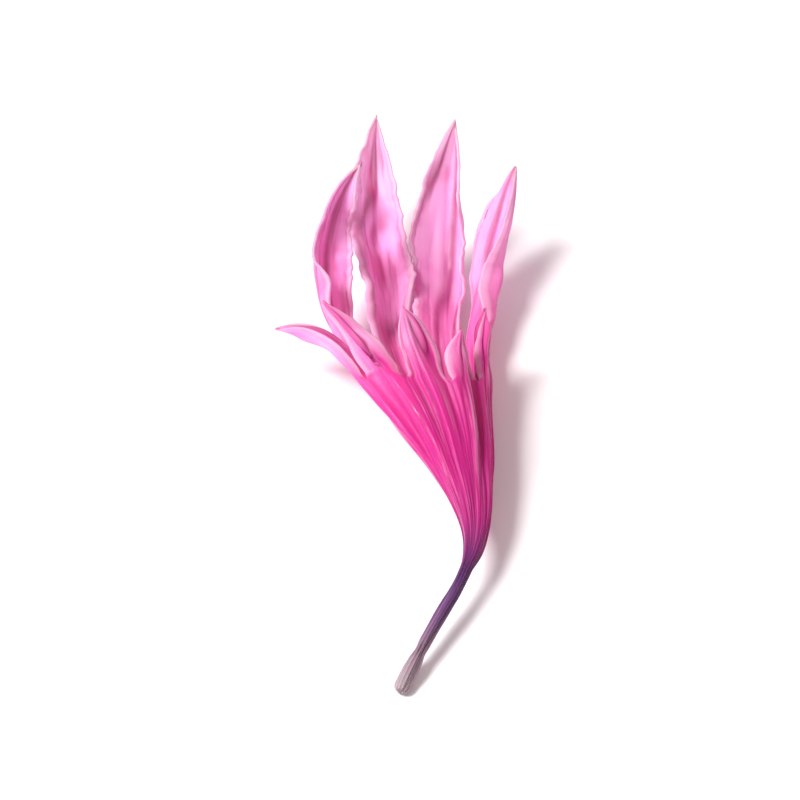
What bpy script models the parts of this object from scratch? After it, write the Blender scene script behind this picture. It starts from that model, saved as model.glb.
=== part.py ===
"""One dried ray floret of a cornflower (Centaurea cyanus), lying on a flat surface.

A cornflower head is many small flowers. This is one of the large sterile ones from its rim: a
thread-thin tube, which opens into an oblique funnel, which is cut into nine pointed lobes. It is
one petal tissue throughout, so it is one closed shell. +Z is up and the surface is z = 0. The
tube points along -Y and the lobes along +Y. Lengths are in millimetres, turned to metres by MM.
"""

import math

import bmesh
import bpy
import numpy as np
from mathutils import Matrix, Vector

MM = 0.001

# Driving dimensions of the dried floret
TISSUE = 0.08  # thickness of the dried wall
TUBE_LENGTH = 4.6  # from the neck back to the end of the stub
TUBE_RADIUS = 0.15
STUB_RADIUS = 0.19  # the withered ovary at the tube's end, grown together with it
STUB_LENGTH = 1.2
NECK_LENGTH = 0.6  # the last of the tube, which already widens
FUNNEL_LENGTH = 6.0  # from the neck to the notches between the lobes, on average
FUNNEL_OBLIQUE = 1.2  # how much longer than that it is underneath, and shorter on top
MOUTH_HALF_WIDTH = 2.2  # at the longest part of the mouth
MOUTH_HALF_HEIGHT = 1.4
PLEATS = 9  # one lengthwise fold to a lobe
FLARE = 1.15  # 1 would be a straight cone, more opens late like a trumpet
PLEAT_DEPTH = 0.12

# The line through the middle of the tube and funnel, from the stub's end to past the mouth
NECK_AT = 2  # the point of the line where the tube meets the funnel
CENTRE_LINE = [
    (-2.2, -5.25, -2.0),
    (-1.25, -2.75, -0.35),
    (0.0, 0.0, 0.9),
    (-0.35, 2.7, 1.55),
    (-1.2, 5.4, 1.95),
    (-2.0, 8.1, 1.95),
    (-2.7, 10.8, 1.8),
]

# Each lobe in turn round the mouth: the angles at which it starts and ends (0 is the right side,
# 90 the top), its length, the way its tip points (degrees left of +Y, degrees above level), its
# twist in degrees, how deeply it is channelled and how far its end curls inward in degrees.
LOBES = [
    (190, 222, 3.6, 56, -20, 0, 0.14, -8),
    (222, 258, 8.6, 6, 60, -48, 0.25, 40),
    (258, 295, 11.0, 2, 50, -5, 0.20, -6),
    (295, 330, 10.0, 14, 58, -4, 0.16, 8),
    (330, 372, 8.4, -7, 48, -6, 0.22, 8),
    (372, 412, 2.4, 2, 44, 10, 0.14, 10),
    (412, 456, 1.6, 16, 40, 0, 0.20, 0),
    (456, 504, 2.2, 40, 40, 0, 0.20, -10),
    (504, 550, 2.9, 60, 24, 0, 0.12, -6),
]
SWELL = 0.205  # how much wider a lobe grows with each millimetre before it narrows to its tip
TAPER = 2.4  # the power of the narrowing: a higher one keeps a lobe broad for longer
CLEFT = 0.20  # part of a lobe's width that the clefts beside it take
CLEFT_END = 0.12  # the part of a lobe's length at which its clefts are fully open

# How the floret is turned to lie on three places: the stub and two pleats of its belly
REST_PITCH = -7.43  # degrees about X
REST_ROLL = 17.80  # degrees about Y

# Mesh density
COLUMNS = 4  # across each lobe
TUBE_ROWS = 9
FUNNEL_ROWS = 8
LOBE_ROWS = 10


def smooth(low, high, x):
    """0 below low, 1 above high, and an S-curve between them."""
    t = min(max((x - low) / (high - low), 0.0), 1.0)
    return t * t * (3.0 - 2.0 * t)


def line_point(u):
    """The centre line at u: a Catmull-Rom curve, where u counts its points."""
    last = len(CENTRE_LINE) - 1
    i = min(max(int(math.floor(u)), 0), last - 1)
    t = u - i
    before, start, end, after = (
        Vector(CENTRE_LINE[min(max(k, 0), last)]) for k in (i - 1, i, i + 1, i + 2)
    )
    linear = (end - before) * t
    square = (2.0 * before - 5.0 * start + 4.0 * end - after) * t**2
    cube = (3.0 * start - before - 3.0 * end + after) * t**3
    return 0.5 * (2.0 * start + linear + square + cube)


def line_table():
    """(distance from the neck, point) at close steps along the centre line."""
    steps = 40 * (len(CENTRE_LINE) - 1)
    points = [line_point(i / 40.0) for i in range(steps + 1)]
    along = [0.0]
    for a, b in zip(points, points[1:]):
        along.append(along[-1] + (b - a).length)
    neck = along[40 * NECK_AT]
    return [s - neck for s in along], points


ALONG, POINTS = line_table()


def centre(s):
    """The point of the centre line at the distance s from the neck."""
    return Vector([float(np.interp(s, ALONG, [p[k] for p in POINTS])) for k in range(3)])


def section_frame(s):
    """The centre line's point, side (right) and up directions at s."""
    ahead = (centre(s + 0.15) - centre(s - 0.15)).normalized()
    side = ahead.cross(Vector((0, 0, 1))).normalized()
    return centre(s), side, side.cross(ahead)


def wall(angle, s):
    """A point of the tube's or the funnel's wall: angle round it, at the distance s along it."""
    point, side, up = section_frame(s)
    widest = FUNNEL_LENGTH + FUNNEL_OBLIQUE
    wide = (max(s + NECK_LENGTH, 0.0) / (widest + NECK_LENGTH)) ** FLARE
    high = smooth(-NECK_LENGTH, 0.95 * widest, s)
    half_width = TUBE_RADIUS + (MOUTH_HALF_WIDTH - TUBE_RADIUS) * wide
    half_height = TUBE_RADIUS + (MOUTH_HALF_HEIGHT - TUBE_RADIUS) * high
    pleat = 1.0 + PLEAT_DEPTH * high * math.cos(PLEATS * angle)
    from_end = s + TUBE_LENGTH
    stub = (STUB_RADIUS - TUBE_RADIUS) * smooth(STUB_LENGTH, STUB_LENGTH / 2, from_end)
    if from_end < STUB_RADIUS:  # the rounded end
        reach = min(1.0 - from_end / STUB_RADIUS, 0.97)
        shrink = math.sqrt(1.0 - reach * reach)
    else:
        shrink = 1.0
    across = (half_width * pleat + stub) * shrink
    above = (half_height * pleat + stub) * shrink
    return point + side * across * math.cos(angle) + up * above * math.sin(angle)


def notch(angle):
    """The length of the funnel's wall at this angle: longest underneath, shortest on top."""
    return FUNNEL_LENGTH - FUNNEL_OBLIQUE * math.sin(angle)


def direction(left, above):
    """The unit vector that points so many degrees left of +Y and so many above level."""
    a, e = math.radians(left), math.radians(above)
    return Vector((-math.sin(a) * math.cos(e), math.cos(a) * math.cos(e), math.sin(e)))


def lobe_line(lobe, first, across):
    """The directions of a lobe's midrib at its rows, and those halfway between the rows."""
    last = direction(lobe[3], lobe[4])
    curl = math.radians(lobe[7])
    steps = []
    for i in range(2 * LOBE_ROWS + 1):
        t = i / (2 * LOBE_ROWS)
        way = first.lerp(last, smooth(-0.05, 1.1, t)).normalized()
        side = (across - way * across.dot(way)).normalized()
        steps.append(Matrix.Rotation(curl * smooth(0.5, 1.1, t), 3, side) @ way)
    return steps[::2], steps[1::2]


def lobe_rows(lobe):
    """The rows of points of one lobe, from the funnel's edge to the tip."""
    start, end, length, _, _, twist, channel, _ = lobe
    angles = [math.radians(start + (end - start) * k / COLUMNS) for k in range(COLUMNS + 1)]
    middle = (angles[0] + angles[-1]) / 2
    base = [wall(angle, notch(angle)) for angle in angles]
    point = wall(middle, notch(middle))
    across = (base[-1] - base[0]).normalized()
    half_width = (base[-1] - base[0]).length / 2
    first = (wall(middle, notch(middle) + 0.2) - point).normalized()
    ways, halfways = lobe_line(lobe, first, across)
    rows = []
    for i, way in enumerate(ways):
        t = i / LOBE_ROWS
        if i > 0:
            point = point + halfways[i - 1] * length / LOBE_ROWS
        side = (across - way * across.dot(way)).normalized()
        inward = side.cross(way)
        if i == 0:
            offsets = [[(p - point).dot(axis) for axis in (side, inward, way)] for p in base]
        turn = Matrix.Rotation(math.radians(twist) * t * t, 3, way)
        side, inward = turn @ side, turn @ inward
        narrow = (1.0 - t**TAPER) * (1.0 + SWELL * length * t)
        narrow *= 1.0 - CLEFT * smooth(0.0, CLEFT_END, t)
        cupped = smooth(0.0, 0.5, t) * (1.0 - smooth(0.6, 1.0, t))
        row = []
        for k, (sideways, deep, ahead) in enumerate(offsets):
            q = 2.0 * k / COLUMNS - 1.0
            deep += channel * half_width * cupped * (q * q - 0.3)
            row.append(point + (side * sideways + inward * deep + way * ahead) * narrow)
        rows.append(row)
    return rows


def corolla_mesh():
    """The floret's outer skin as one open surface: rings for the tube and funnel, then lobes."""
    mesh = bmesh.new()
    angles = []
    for start, end, *_ in LOBES:
        step = (end - start) / COLUMNS
        angles += [math.radians(start + step * k) for k in range(COLUMNS)]
    ring_count = len(angles)

    tube = [-TUBE_LENGTH * (1.0 - i / TUBE_ROWS) for i in range(TUBE_ROWS)]
    tube.insert(1, -TUBE_LENGTH + 0.15)
    tube.insert(2, -TUBE_LENGTH + STUB_RADIUS)
    rings = [[mesh.verts.new(wall(a, s)) for a in angles] for s in tube]
    for j in range(FUNNEL_ROWS + 1):
        part = j / FUNNEL_ROWS
        rings.append([mesh.verts.new(wall(a, notch(a) * part)) for a in angles])

    for lower, upper in zip(rings, rings[1:]):
        for k in range(ring_count):
            n = (k + 1) % ring_count
            mesh.faces.new((lower[n], lower[k], upper[k], upper[n]))
    mesh.faces.new(rings[0])

    edge = rings[-1]
    for number, lobe in enumerate(LOBES):
        first = number * COLUMNS
        below = [edge[(first + k) % ring_count] for k in range(COLUMNS + 1)]
        for points in lobe_rows(lobe)[1:-1]:
            row = [mesh.verts.new(p) for p in points]
            for k in range(COLUMNS):
                mesh.faces.new((below[k + 1], below[k], row[k], row[k + 1]))
            below = row
        tip = mesh.verts.new(lobe_rows(lobe)[-1][0])
        for k in range(COLUMNS):
            mesh.faces.new((below[k + 1], below[k], tip))
    return mesh


def lay_down(mesh):
    """Turns the floret so that the three places it lies on are level."""
    turn = Matrix.Rotation(math.radians(REST_ROLL), 3, "Y")
    turn = turn @ Matrix.Rotation(math.radians(REST_PITCH), 3, "X")
    bmesh.ops.rotate(mesh, cent=(0, 0, 0), matrix=turn, verts=mesh.verts)


def petal_tissue():
    """Dried petal: magenta-pink and dull."""
    material = bpy.data.materials.new("petal_tissue")
    material.use_nodes = True
    shader = material.node_tree.nodes["Principled BSDF"]
    shader.inputs["Base Color"].default_value = (0.80, 0.17, 0.50, 1.0)
    shader.inputs["Roughness"].default_value = 0.7
    shader.inputs["Metallic"].default_value = 0.0
    return material


def centre_on_origin(thing):
    """Moves the mesh so that the finished solid stands on z = 0, centred on x = 0 and y = 0."""
    solid = thing.evaluated_get(bpy.context.evaluated_depsgraph_get()).to_mesh()
    points = np.array([v.co for v in solid.vertices])
    low, high = points.min(axis=0), points.max(axis=0)
    thing.to_mesh_clear()
    shift = Vector((-(low[0] + high[0]) / 2, -(low[1] + high[1]) / 2, -low[2]))
    thing.data.transform(Matrix.Translation(shift))


for leftover in list(bpy.data.objects):
    bpy.data.objects.remove(leftover, do_unlink=True)
collection = bpy.data.collections.new("dried_cornflower_floret")
bpy.context.scene.collection.children.link(collection)

skin = corolla_mesh()
lay_down(skin)
bmesh.ops.scale(skin, vec=(MM, MM, MM), verts=skin.verts)
data = bpy.data.meshes.new("ray_floret")
skin.to_mesh(data)
skin.free()
data.shade_smooth()
data.materials.append(petal_tissue())
floret = bpy.data.objects.new("ray_floret", data)
collection.objects.link(floret)
shell = floret.modifiers.new("tissue", "SOLIDIFY")
shell.thickness = TISSUE * MM
shell.offset = -1.0
centre_on_origin(floret)
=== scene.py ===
import math

import bpy
import numpy as np
from mathutils import Matrix, Vector


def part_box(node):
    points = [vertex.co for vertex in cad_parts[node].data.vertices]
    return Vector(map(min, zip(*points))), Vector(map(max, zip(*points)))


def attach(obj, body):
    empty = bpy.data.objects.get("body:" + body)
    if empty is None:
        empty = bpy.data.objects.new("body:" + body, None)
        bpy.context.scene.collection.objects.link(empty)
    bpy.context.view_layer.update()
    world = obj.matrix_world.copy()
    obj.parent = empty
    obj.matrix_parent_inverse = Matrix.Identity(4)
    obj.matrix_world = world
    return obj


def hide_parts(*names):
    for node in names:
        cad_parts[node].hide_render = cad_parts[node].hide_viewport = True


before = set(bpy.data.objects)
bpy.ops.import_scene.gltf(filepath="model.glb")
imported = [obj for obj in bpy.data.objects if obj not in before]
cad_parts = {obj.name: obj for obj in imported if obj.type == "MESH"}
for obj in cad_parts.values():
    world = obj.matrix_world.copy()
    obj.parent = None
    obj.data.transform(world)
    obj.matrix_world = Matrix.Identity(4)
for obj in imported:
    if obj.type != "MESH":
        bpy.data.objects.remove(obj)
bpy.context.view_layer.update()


# ---------------------------------------------------------------------------------------------
# The ray floret: a whole small flower from the rim of a cornflower head, sterile and dried.
# It grew as one piece of petal tissue: a withered ovary, a thread-thin tube and an oblique
# funnel cut into nine pointed lobes. Drying folded it lengthwise and curled each lobe its way.
# ---------------------------------------------------------------------------------------------

MM = 0.001
TISSUE = 0.08  # mm, the wall of the tube and funnel
MARGIN_TISSUE = 0.25  # the margins of the lobes dry to this part of it
TUBE_LENGTH = 4.6  # from the neck back to the end of the stub
TUBE_RADIUS = 0.15
STUB_RADIUS = 0.19
STUB_LENGTH = 1.2
NECK_LENGTH = 0.6  # the last of the tube, which already widens
FUNNEL_LENGTH = 6.0  # from the neck to the clefts between the lobes, on average
FUNNEL_OBLIQUE = 1.2  # longer than that underneath, and shorter on top
MOUTH_HALF_WIDTH = 2.2
MOUTH_HALF_HEIGHT = 1.4
FLARE = 1.15
PLEATS = 9  # one broad lengthwise fold to a lobe
PLEAT_DEPTH = 0.12
SWELL = 0.205  # how much wider a lobe grows with each millimetre before it narrows to its tip
TAPER = 3.0  # the power of the narrowing: a higher one keeps a lobe broad for longer
CLEFT = 0.20  # part of a lobe's width that the clefts beside it take
CLEFT_END = 0.12  # the part of a lobe's length at which its clefts are fully open
NECK_AT = 2
CENTRE_LINE = np.array([
    (-2.2, -5.25, -2.0),
    (-1.25, -2.75, -0.35),
    (0.0, 0.0, 0.9),
    (-0.35, 2.7, 1.55),
    (-1.2, 5.4, 1.95),
    (-2.0, 8.1, 1.95),
    (-2.7, 10.8, 1.8),
])

# Round the mouth, each lobe's first and last angle (0 right, 90 top), its length in mm, the way
# its tip points (degrees left of +Y, degrees up), its twist, channel and inward curl.
LOBES = [
    (190, 222, 3.6, 56, -20, 0, 0.14, -8),
    (222, 258, 8.6, 6, 60, -48, 0.25, 40),
    (258, 295, 11.0, 2, 50, -5, 0.20, -6),
    (295, 330, 10.0, 14, 58, -4, 0.16, 8),
    (330, 372, 8.4, -7, 48, -6, 0.22, 8),
    (372, 412, 2.4, 2, 44, 10, 0.14, 10),
    (412, 456, 1.6, 16, 40, 0, 0.20, 0),
    (456, 504, 2.2, 40, 40, 0, 0.20, -10),
    (504, 550, 2.9, 60, 24, 0, 0.12, -6),
]
REST_PITCH = -7.43  # degrees about X, and then REST_ROLL about Y, to lie level
REST_ROLL = 17.80

COLUMNS = 44  # of mesh across each lobe
TUBE_ROWS = 80
FUNNEL_ROWS = 120
LOBE_STEP = 0.07  # mm between the rows of a lobe


def smooth(low, high, x):
    """0 below low, 1 above high, and an S-curve between them."""
    t = np.clip((x - low) / (high - low), 0.0, 1.0)
    return t * t * (3.0 - 2.0 * t)


def unit(vectors):
    return vectors / np.linalg.norm(vectors, axis=-1, keepdims=True)


def ripple(around, along, count, length, seed):
    """Random ripples from -1 to 1 over the flat tissue: so many round it, each so many mm long.

    around is in degrees and closes on itself after a full turn.
    """
    v = (np.asarray(along, float) + TUBE_LENGTH + 1.0) / length
    u = np.mod(np.asarray(around, float) / 360.0, 1.0) * count
    u, v = np.broadcast_arrays(u, v)
    i, j = v.astype(int), u.astype(int)
    a, b = smooth(0.0, 1.0, v - i), smooth(0.0, 1.0, u - j)
    heights = np.random.default_rng(seed).uniform(-1.0, 1.0, (int(30.0 / length) + 3, count))
    j, k = j % count, (j + 1) % count
    near = heights[i, j] * (1.0 - b) + heights[i, k] * b
    far = heights[i + 1, j] * (1.0 - b) + heights[i + 1, k] * b
    return near * (1.0 - a) + far * a


def line_table():
    """Distances from the neck, and the points there, at close steps along the centre line."""
    last = len(CENTRE_LINE) - 1
    u = np.linspace(0.0, last, 40 * last + 1)
    i = np.minimum(u.astype(int), last - 1)
    t = (u - i)[:, None]
    before, start, end, after = (CENTRE_LINE[np.clip(i + k, 0, last)] for k in (-1, 0, 1, 2))
    points = 0.5 * (
        2.0 * start
        + (end - before) * t
        + (2.0 * before - 5.0 * start + 4.0 * end - after) * t**2
        + (3.0 * start - before - 3.0 * end + after) * t**3
    )
    along = np.concatenate([[0.0], np.cumsum(np.linalg.norm(np.diff(points, axis=0), axis=1))])
    return along - along[40 * NECK_AT], points


ALONG, POINTS = line_table()

# What drying did to the tube and the stub, in parts of their radius but for the two in mm
KINK = 0.05  # mm that the tube strays from its line
RIDGES = 5  # soft ridges of the tube, which wind round it a little
RIDGE_DEPTH = 0.13
THICK_AND_THIN = 0.09
STUB_WRINKLES = 11
STUB_WRINKLE_DEPTH = 0.07
PINCH = 0.025  # mm that the stub is drawn in where it meets the tube


def centre(s):
    """Points of the centre line, with the small kinks that a dried tube has."""
    kink = KINK * (1.0 - smooth(-1.0, 0.5, s)) * smooth(-TUBE_LENGTH, -TUBE_LENGTH + 1.5, s)
    sway = [ripple(0.0, s, 4, 1.3, 31) * kink, 0.0 * s, ripple(0.0, s, 4, 1.1, 32) * kink]
    return np.stack([np.interp(s, ALONG, POINTS[:, k]) + sway[k] for k in range(3)], axis=-1)


def wall(angle, s):
    """Points of the tube's or the funnel's wall: angle round it, at the distance s along it."""
    angle, s = np.broadcast_arrays(np.asarray(angle, float), np.asarray(s, float))
    ahead = unit(centre(s + 0.15) - centre(s - 0.15))
    side = unit(np.cross(ahead, (0.0, 0.0, 1.0)))
    up = np.cross(side, ahead)
    widest = FUNNEL_LENGTH + FUNNEL_OBLIQUE
    wide = (np.maximum(s + NECK_LENGTH, 0.0) / (widest + NECK_LENGTH)) ** FLARE
    high = smooth(-NECK_LENGTH, 0.95 * widest, s)
    half_width = TUBE_RADIUS + (MOUTH_HALF_WIDTH - TUBE_RADIUS) * wide
    half_height = TUBE_RADIUS + (MOUTH_HALF_HEIGHT - TUBE_RADIUS) * high
    pleat = 1.0 + PLEAT_DEPTH * high * np.cos(PLEATS * angle)
    # The tube dried to soft ridges with grooves between them, and thick and thin by turns.
    in_tube = 1.0 - smooth(-0.8, 1.6, s)
    ridges = RIDGE_DEPTH * np.cos(RIDGES * angle + 0.45 * s)
    pleat = pleat + in_tube * (ridges + THICK_AND_THIN * ripple(0, s, 4, 0.9, 33))
    # The ovary shrivelled to a stub: pinched where it meets the tube, with finer wrinkles.
    in_stub = 1.0 - smooth(-TUBE_LENGTH + 0.6 * STUB_LENGTH, -TUBE_LENGTH + STUB_LENGTH, s)
    pleat = pleat + in_stub * STUB_WRINKLE_DEPTH * np.cos(STUB_WRINKLES * angle - 0.8 * s)
    pinch = np.exp(-(((s + TUBE_LENGTH - STUB_LENGTH) / 0.16) ** 2))
    swell = smooth(-TUBE_LENGTH + STUB_LENGTH, -TUBE_LENGTH + STUB_LENGTH / 2, s)
    stub = (STUB_RADIUS - TUBE_RADIUS) * swell - PINCH * pinch
    reach = np.clip((-TUBE_LENGTH + STUB_RADIUS - s) / STUB_RADIUS, 0.0, 0.97)
    shrink = np.sqrt(1.0 - reach**2)
    across = ((half_width * pleat + stub) * shrink * np.cos(angle))[..., None]
    above = ((half_height * pleat + stub) * shrink * np.sin(angle))[..., None]
    return centre(s) + side * across + up * above


def cleft(angle):
    """The length of the funnel's wall at this angle: longest underneath, shortest on top."""
    return FUNNEL_LENGTH - FUNNEL_OBLIQUE * np.sin(angle)


# What drying did to the lobes
BEND = 0.19  # radians that a midrib strays up and down, and SWAY sideways
SWAY = 0.12
TURN = 0.50  # radians that a lobe strays in its twist, beyond a third of its length
FULL_BEND_LENGTH = 8.0  # mm: a shorter lobe strays less, and its margins wave less still
WAVINESS = 0.21  # mm that the margins wave up and down
RAGGED_COARSE = 0.08  # parts of the half width that the margins come and go
RAGGED_FINE = 0.05
ROLL = 0.10  # part of the half width that the margins roll inwards, give or take ROLL_CHANGE
ROLL_CHANGE = 0.16
BROADER = 0.09  # how much broader the outer half of a lobe lies, now that it is limp


def lobe_rows(number):
    """The points of one lobe, row by row from the funnel's edge to the tip."""
    start, end, length, left, above, twist, channel, curl = LOBES[number]
    count = max(int(length / LOBE_STEP), 24)
    angles = np.radians(np.linspace(start, end, COLUMNS + 1))
    middle = (angles[0] + angles[-1]) / 2
    base = wall(angles, cleft(angles))
    point = wall(middle, cleft(middle))
    first = unit(wall(middle, cleft(middle) + 0.2) - point)
    a, e = math.radians(left), math.radians(above)
    last = np.array((-math.sin(a) * math.cos(e), math.cos(a) * math.cos(e), math.sin(e)))
    across = unit(base[-1] - base[0])
    half_width = np.linalg.norm(base[-1] - base[0]) / 2
    q = np.linspace(-1.0, 1.0, COLUMNS + 1)[:, None]
    limpness = min(length / FULL_BEND_LENGTH, 1.0)  # the short lobes dried straighter and flatter
    waviness = WAVINESS * limpness**2

    def stray(t, length_mm, seed):
        """Random from -1 to 1 along this lobe, the same all across it."""
        return ripple(40.0 * number, length * t, 9, length_mm, seed)

    def midrib(t):
        """The way that the midrib runs at t, and the side direction that goes with it."""
        way = unit(first + (last - first) * smooth(-0.05, 1.1, t))
        side = unit(across - way * across.dot(way))
        bend = math.radians(curl) * smooth(0.5, 1.1, t)
        bend += BEND * limpness * smooth(0.05, 0.3, t) * stray(t, 2.3, 41)
        sway = SWAY * limpness * smooth(0.05, 0.3, t) * stray(t, 2.9, 42)
        way = way * math.cos(bend) + np.cross(side, way) * math.sin(bend)
        return unit(way + side * sway), side

    rows = []
    for i in range(count + 1):
        t = i / count
        way, side = midrib(t)
        side = unit(side - way * side.dot(way))
        inward = np.cross(side, way)
        if i == 0:
            axes = np.stack([side, inward, way])
            sideways, deep, ahead = ((base - point) @ axes.T).T[:, :, None]
        turn = math.radians(twist) * t * t
        turn += TURN * smooth(0.3, 1.0, t) * stray(t, 2.0, 43)
        c, s = math.cos(turn), math.sin(turn)
        side, inward = side * c + np.cross(way, side) * s, inward * c + np.cross(way, inward) * s
        narrow = (1.0 - t**TAPER) * (1.0 + SWELL * length * t)
        narrow *= 1.0 - CLEFT * smooth(0.0, CLEFT_END, t)
        # The margins are ragged, wavy and rolled inwards a little, each side in its own way.
        sides = 40.0 * number + np.where(q < 0.0, 0.0, 20.0)
        grown = smooth(0.02, 0.2, t)
        ragged = RAGGED_COARSE * ripple(sides, length * t, 18, 0.6, 44)
        ragged = ragged + RAGGED_FINE * ripple(sides, length * t, 18, 0.2, 45)
        wavy = waviness * smooth(0.1, 0.4, t) * ripple(sides, length * t, 18, 1.1, 46)
        wavy = wavy * smooth(0.35, 1.0, np.abs(q)) * (1.0 - smooth(0.8, 1.0, t))
        roll = ROLL + ROLL_CHANGE * ripple(sides, length * t, 18, 2.2, 47)
        cupped = deep + channel * half_width * smooth(0.0, 0.5, t) * (q * q - 0.3)
        cupped = cupped + grown * (wavy + roll * half_width * np.abs(q) ** 5)
        broader = 1.0 + BROADER * smooth(0.35, 0.65, t)
        spread = sideways * (broader + grown * ragged * np.abs(q))
        rows.append(point + (side * spread + inward * cupped + way * ahead) * narrow)
        point = point + midrib(t + 0.5 / count)[0] * length / count
    return rows


def floret_skin():
    """The whole floret as one open surface. Each point knows its place on the flat tissue."""
    points, facts, faces = [], [], []
    degrees = np.concatenate([
        np.linspace(start, end, COLUMNS, endpoint=False) for start, end, *_ in LOBES
    ])
    angles = np.radians(degrees)
    count = len(angles)
    tube = np.linspace(-TUBE_LENGTH, 0.0, TUBE_ROWS, endpoint=False)
    rounding = -TUBE_LENGTH + STUB_RADIUS * np.linspace(0.05, 1.0, 8)
    tube = np.unique(np.concatenate([tube[:1], rounding, tube[tube > rounding[-1] + 0.05]]))
    q_round = np.tile(np.linspace(-1.0, 1.0, COLUMNS, endpoint=False), len(LOBES))

    def add_row(row, along, q, t, around):
        first = len(points)
        points.extend(row)
        facts.extend(zip(along, q, np.full(len(row), t), around))
        return list(range(first, first + len(row)))

    rings = []
    for s in tube:
        rings.append(add_row(wall(angles, s), np.full(count, s), q_round, 0.0, degrees))
    for j in range(FUNNEL_ROWS + 1):
        s = cleft(angles) * j / FUNNEL_ROWS
        rings.append(add_row(wall(angles, s), s, q_round, 0.0, degrees))
    for lower, upper in zip(rings, rings[1:]):
        for k in range(count):
            n = (k + 1) % count
            faces.append((lower[n], lower[k], upper[k], upper[n]))
    faces.append(tuple(rings[0]))

    q = np.linspace(-1.0, 1.0, COLUMNS + 1)
    for number, lobe in enumerate(LOBES):
        at = number * COLUMNS
        below = [rings[-1][(at + k) % count] for k in range(COLUMNS + 1)]
        around = np.linspace(lobe[0], lobe[1], COLUMNS + 1)
        start = cleft(np.radians(around))
        rows = lobe_rows(number)
        for i, row in enumerate(rows[1:-1], 1):
            t = i / (len(rows) - 1)
            above = add_row(row, start + t * lobe[2], q, t, around)
            for k in range(COLUMNS):
                faces.append((below[k + 1], below[k], above[k], above[k + 1]))
            below = above
        tip = add_row(rows[-1][:1], start[:1] + lobe[2], q[:1] * 0.0, 1.0, around[:1])[0]
        for k in range(COLUMNS):
            faces.append((below[k + 1], below[k], tip))
    return np.array(points), np.array(facts).T, faces


points, (along, q, lobe_part, around), faces = floret_skin()
turn = Matrix.Rotation(math.radians(REST_ROLL), 3, "Y")
turn = turn @ Matrix.Rotation(math.radians(REST_PITCH), 3, "X")
points = points @ np.array(turn).T

mesh = bpy.data.meshes.new("ray_floret_skin")
mesh.from_pydata(points.tolist(), [], faces)
normals = np.empty(len(points) * 3)
mesh.vertex_normals.foreach_get("vector", normals)
normals = normals.reshape(-1, 3)

# Creases from drying run the length of the funnel and on into the lobes. Between them lie fine
# wrinkles about 0.12 mm apart at the mouth, and the lobes are crumpled. Veins stand out a little:
# they run up the funnel to each cleft, fork there and follow the margins of the lobes.
FOLD_HEIGHT = 0.13  # mm, as the others
CREASE_DEPTH = 0.10
WRINKLE_HEIGHT = 0.030
TUBE_WRINKLE_HEIGHT = 0.012
VEIN_HEIGHT = 0.03
CRUMPLE_HEIGHT = 0.06
VEIN_INSET = 0.16  # part of a lobe's half width between its margin and the vein along it
opened = smooth(-NECK_LENGTH, 5.0, along)
crease = 1.0 - np.abs(ripple(around, along, 30, 4.5, 51)) * 2.2
crease = np.clip(crease, 0.0, 1.0) ** 2
fold = ripple(around, along, 22, 3.2, 52)
wrinkle = ripple(around, along, 96, 1.7, 53)
crumple = ripple(around, along, 30, 0.8, 54)
inset = np.where(lobe_part > 0.0, VEIN_INSET * smooth(0.0, 0.1, lobe_part), 0.0)
distance = 1.0 - inset - np.abs(q)
vein = np.exp(-((distance / 0.055) ** 2)) + 0.5 * np.exp(-((q / 0.05) ** 2))
vein = np.clip(vein, 0.0, 1.0) * (1.0 - smooth(0.9, 1.0, lobe_part))
slender = 1.0 - smooth(0.7, 0.95, lobe_part)
relief = FOLD_HEIGHT * fold - CREASE_DEPTH * crease + WRINKLE_HEIGHT * wrinkle + VEIN_HEIGHT * vein
lift = opened * slender * relief
lift += CRUMPLE_HEIGHT * crumple * smooth(0.1, 0.5, lobe_part) * slender
lift += TUBE_WRINKLE_HEIGHT * wrinkle * (1.0 - opened)
points = points + normals * lift[:, None]

# The wrinkles moved its lowest places, so it settles until both the stub and the belly touch.
for _ in range(4):
    stub, body = points[along < -TUBE_LENGTH + STUB_LENGTH], points[along > 0.0]
    reach = body[body[:, 2].argmin()] - stub[stub[:, 2].argmin()]
    nod = Matrix.Rotation(-math.atan2(reach[2], reach[1]), 3, "X")
    points = points @ np.array(nod).T

# Its bends and waves took it a little past its real size, so it is drawn in to that again, and is
# in metres from here on.
low, high = (np.array(corner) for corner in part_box("ray_floret"))
first, last = points.min(axis=0), points.max(axis=0)
points = low + (points - first) / (last - first) * (high - low)

mesh.vertices.foreach_set("co", points.ravel())
mesh.shade_smooth()
floret = bpy.data.objects.new("dried_ray_floret", mesh)
bpy.context.collection.objects.link(floret)

shell = floret.modifiers.new("tissue", "SOLIDIFY")
shell.thickness = TISSUE * MM
shell.offset = -1.0
shell.thickness_vertex_group = MARGIN_TISSUE
shell.vertex_group = "thick"
thick = floret.vertex_groups.new(name="thick")
at_margin = smooth(0.3, 1.0, np.abs(q)) * smooth(0.0, 0.15, lobe_part)
weights = 1.0 - np.maximum(at_margin, smooth(0.7, 0.9, lobe_part))
for step in range(11):
    members = np.flatnonzero(np.round(weights * 10.0) == step)
    if len(members):
        thick.add(members.tolist(), step / 10.0, "REPLACE")

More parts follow.
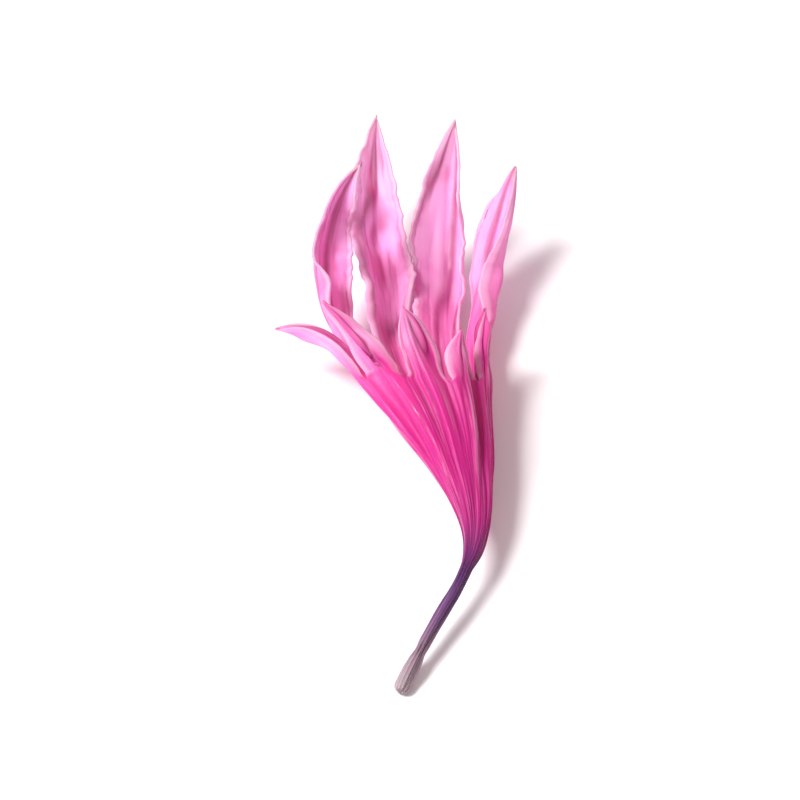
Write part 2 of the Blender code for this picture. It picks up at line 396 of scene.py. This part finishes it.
# What the material needs to know about each point of the tissue
PATTERN_RADIUS = 2.36  # mm, of the round that the patterns lie on, a little wider than the mouth
round_place = np.radians(around)
tissue_place = np.stack([
    PATTERN_RADIUS * np.cos(round_place), PATTERN_RADIUS * np.sin(round_place), along,
], axis=-1)
attribute = mesh.attributes.new("tissue_place", "FLOAT_VECTOR", "POINT")
attribute.data.foreach_set("vector", tissue_place.astype(np.float32).ravel())
margin = smooth(0.6, 1.0, np.abs(q)) * smooth(0.0, 0.1, lobe_part)
# The crease and the fold height go to the material for painted shade in the creases and a painted
# highlight on the ridges.
for name, values in (
    ("along", along), ("crease", crease * opened), ("vein", vein), ("margin", margin),
    ("lobe_part", lobe_part), ("ridge_highlight", 0.5 + 0.5 * fold),
):
    attribute = mesh.attributes.new(name, "FLOAT", "POINT")
    attribute.data.foreach_set("value", values.astype(np.float32))


def linear(hex_value):
    """An sRGB hex colour as the linear RGBA that the shader takes."""
    parts = [int(hex_value[i : i + 2], 16) / 255.0 for i in (1, 3, 5)]
    return [p / 12.92 if p <= 0.04045 else ((p + 0.055) / 1.055) ** 2.4 for p in parts] + [1.0]


def add_node(tree, kind, settings=None, **links):
    """Adds a node, sets its properties and unlinked sockets, and links the rest.

    A link is named for its socket, with _ for a space, or by its number after an i.
    """
    made = tree.nodes.new(kind)
    for key, value in (settings or {}).items():
        if isinstance(key, int) or key in made.inputs:
            made.inputs[key].default_value = value
        else:
            setattr(made, key, value)
    for key, source in links.items():
        socket = int(key[1:]) if key[1:].isdigit() else key.replace("_", " ")
        tree.links.new(source, made.inputs[socket])
    return made


# Dried petal tissue: thin, dull cell walls over coloured sap that dried in them. Magenta in the
# funnel, paler and patchy in the lobes, violet in the tube. Light passes through it.
petal = bpy.data.materials.new("dried_petal_tissue")
petal.use_nodes = True
tree = petal.node_tree
tree.nodes.remove(tree.nodes["Principled BSDF"])

# What each point knows of itself: its place, and how strongly each feature shows there
facts = {}
for name in ("along", "crease", "vein", "margin", "lobe_part", "ridge_highlight"):
    facts[name] = add_node(tree, "ShaderNodeAttribute", {"attribute_name": name}).outputs["Fac"]
place = add_node(tree, "ShaderNodeAttribute", {"attribute_name": "tissue_place"}).outputs["Vector"]

# Patches on the tissue by their width and length in mm: streaks follow the fibres, blotches are
# where the sap dried thicker, specks are single groups of cells.
for name, across_mm, along_mm, detail in (
    ("streaks", 0.22, 3.0, 2.0), ("blotches", 1.1, 2.6, 2.0), ("specks", 0.12, 0.35, 2.0),
    # Cells about 0.03 mm wide give the dull, silky grain; they are drawn twice as coarse to show.
    ("cells", 0.06, 0.15, 1.0),
):
    scale = (1 / across_mm, 1 / across_mm, 1 / along_mm)
    stretch = add_node(tree, "ShaderNodeVectorMath", {"operation": "MULTIPLY", 1: scale}, i0=place)
    noise = add_node(
        tree, "ShaderNodeTexNoise", {"Scale": 1.0, "Detail": detail, "Roughness": 0.55},
        Vector=stretch.outputs["Vector"],
    )
    facts[name] = noise.outputs["Fac"]

# The colour along the floret, from the stub to the longest tip, with its borders frayed
# lengthwise by the streaks
FRAY = 3.4  # mm
frayed = add_node(
    tree, "ShaderNodeMath", {"operation": "MULTIPLY_ADD", 1: FRAY},
    i0=facts["streaks"], i2=facts["along"],
)
longest = max(lobe[2] for lobe in LOBES)
span = add_node(
    tree, "ShaderNodeMapRange",
    {"From Min": -TUBE_LENGTH + FRAY / 2, "From Max": FUNNEL_LENGTH + longest + FRAY / 2},
    Value=frayed.outputs["Value"],
)
ramp = add_node(tree, "ShaderNodeValToRGB", Fac=span.outputs["Result"])
stops = [
    (0.0, "#D2C2C6"), (0.05, "#C4A6B6"), (0.10, "#8E6096"), (0.17, "#613478"),
    (0.215, "#9A2F80"), (0.26, "#D02690"), (0.35, "#E42A9E"), (0.46, "#EE48AE"),
    (0.55, "#FD78CA"), (0.68, "#FF9EDE"), (0.86, "#FFC4F1"), (1.0, "#FEDCF2"),
]
while len(ramp.color_ramp.elements) < len(stops):
    ramp.color_ramp.elements.new(0.5)
for element, (at, hex_value) in zip(ramp.color_ramp.elements, stops):
    element.position = at
    element.color = linear(hex_value)
colour = ramp.outputs["Color"]

# Tints over it, one on the other. Each is as strong as the product of its limits: a fact with
# the value where the tint starts, the value where it is full, and how full that is.
tints = (
    ("#FFCDF1", ("blotches", 0.46, 0.64, 0.75), ("lobe_part", 0.05, 0.5, 1.0)),  # pale patches
    ("#EC3FA2", ("blotches", 0.45, 0.28, 0.6), ("along", -0.5, 1.5, 1.0)),  # deep patches
    ("#FFD3F0", ("streaks", 0.52, 0.70, 0.65), ("ridge_highlight", 0.3, 0.9, 1.0)),  # painted highlight on the ridges, in pale streaks
    ("#B5097A", ("streaks", 0.45, 0.28, 0.5), ("along", -0.5, 1.5, 1.0)),  # deep streaks
    # painted shade: the creases darkened as if shadowed
    ("#A80468", ("crease", 0.15, 0.9, 0.6)),
    ("#B4308E", ("vein", 0.2, 1.0, 0.35), ("along", -0.5, 1.5, 1.0)),
    ("#FAE0EE", ("margin", 0.3, 1.0, 0.5)),
    ("#E3B09A", ("lobe_part", 0.92, 1.0, 0.4), ("specks", 0.4, 0.6, 1.0)),  # browned tips
)
for hex_value, *limits in tints:
    amount = None
    for name, low_value, high_value, most in limits:
        limit = add_node(
            tree, "ShaderNodeMapRange",
            {"From Min": low_value, "From Max": high_value, "To Max": most},
            Value=facts[name],
        ).outputs["Result"]
        if amount is None:
            amount = limit
        else:
            amount = add_node(
                tree, "ShaderNodeMath", {"operation": "MULTIPLY"}, i0=amount, i1=limit,
            ).outputs["Value"]
    colour = add_node(
        tree, "ShaderNodeMix", {"data_type": "RGBA", 7: linear(hex_value)}, i0=amount, i6=colour,
    ).outputs[2]

GRAIN_DEPTH = 0.012  # mm
SCATTER_DEPTH = 0.12  # mm that red light spreads inside the tissue
LIGHT_THROUGH = 0.4  # part of the light that passes through
dullness = add_node(tree, "ShaderNodeMapRange", {"To Max": 0.9}, Value=facts["specks"])
grain = add_node(
    tree, "ShaderNodeBump", {"Strength": 0.35, "Distance": GRAIN_DEPTH * MM}, Height=facts["cells"],
)
shader = add_node(
    tree, "ShaderNodeBsdfPrincipled",
    {
        "IOR": 1.42, "Subsurface Weight": 0.35, "Subsurface Radius": (1.0, 0.35, 0.7),
        "Subsurface Scale": SCATTER_DEPTH * MM, "Sheen Weight": 0.06, "Sheen Roughness": 0.4,
    },
    Base_Color=colour, Normal=grain.outputs["Normal"], Roughness=dullness.outputs["Result"],
)
glow = add_node(tree, "ShaderNodeBsdfTranslucent", Color=colour)
blend = add_node(
    tree, "ShaderNodeMixShader", {0: LIGHT_THROUGH},
    i1=shader.outputs["BSDF"], i2=glow.outputs["BSDF"],
)
tree.links.new(blend.outputs["Shader"], tree.nodes["Material Output"].inputs["Surface"])
mesh.materials.append(petal)

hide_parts("ray_floret")
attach(floret, "root")


# ---------------------------------------------------------------------------------------------
# The white table that the floret lies on, much wider than the floret, a soft lamp high up on the
# left in a bright room, and the camera, which looks down on the floret from the stub's end.
# ---------------------------------------------------------------------------------------------

LAMP_PLACE = Vector((-0.14, -0.03, 0.19))  # metres from the middle of the floret
LAMP_SIZE = 0.09
LAMP_POWER = 0.74  # watts
ROOM_LIGHT = 0.56
CAMERA_DISTANCE = 0.052
CAMERA_ELEVATION = 42  # degrees
AIM = Vector((0.0, -0.0010, -0.0011))  # metres from the middle of the floret

bpy.ops.mesh.primitive_plane_add(size=0.6, location=(0, 0, 0))
table = bpy.context.object
table.name = "white_table"
white = bpy.data.materials.new("white_matt_board")
white.use_nodes = True
white.node_tree.nodes["Principled BSDF"].inputs["Base Color"].default_value = linear("#F7F7F7")
white.node_tree.nodes["Principled BSDF"].inputs["Roughness"].default_value = 0.9
table.data.materials.append(white)

world = bpy.data.worlds.new("studio")
bpy.context.scene.world = world
world.use_nodes = True
world.node_tree.nodes["Background"].inputs["Color"].default_value = linear("#FFEEF0")
world.node_tree.nodes["Background"].inputs["Strength"].default_value = ROOM_LIGHT

target = Vector((low + high) / 2)
lamp = bpy.data.lights.new("window_softbox", "AREA")
lamp.size = LAMP_SIZE
lamp.energy = LAMP_POWER
softbox = bpy.data.objects.new("window_softbox", lamp)
bpy.context.collection.objects.link(softbox)
softbox.location = target + LAMP_PLACE
softbox.rotation_euler = (target - softbox.location).to_track_quat("-Z", "Y").to_euler()

lens = bpy.data.cameras.new("camera")
camera = bpy.data.objects.new("camera", lens)
bpy.context.collection.objects.link(camera)
elevation = math.radians(CAMERA_ELEVATION)
lens.lens = 85
lens.clip_start = 0.001
aim = target + AIM
camera.location = aim + Vector((0, -math.cos(elevation), math.sin(elevation))) * CAMERA_DISTANCE
camera.rotation_euler = (aim - camera.location).to_track_quat("-Z", "Y").to_euler()
bpy.context.scene.camera = camera
bpy.context.scene.view_settings.view_transform = "Standard"
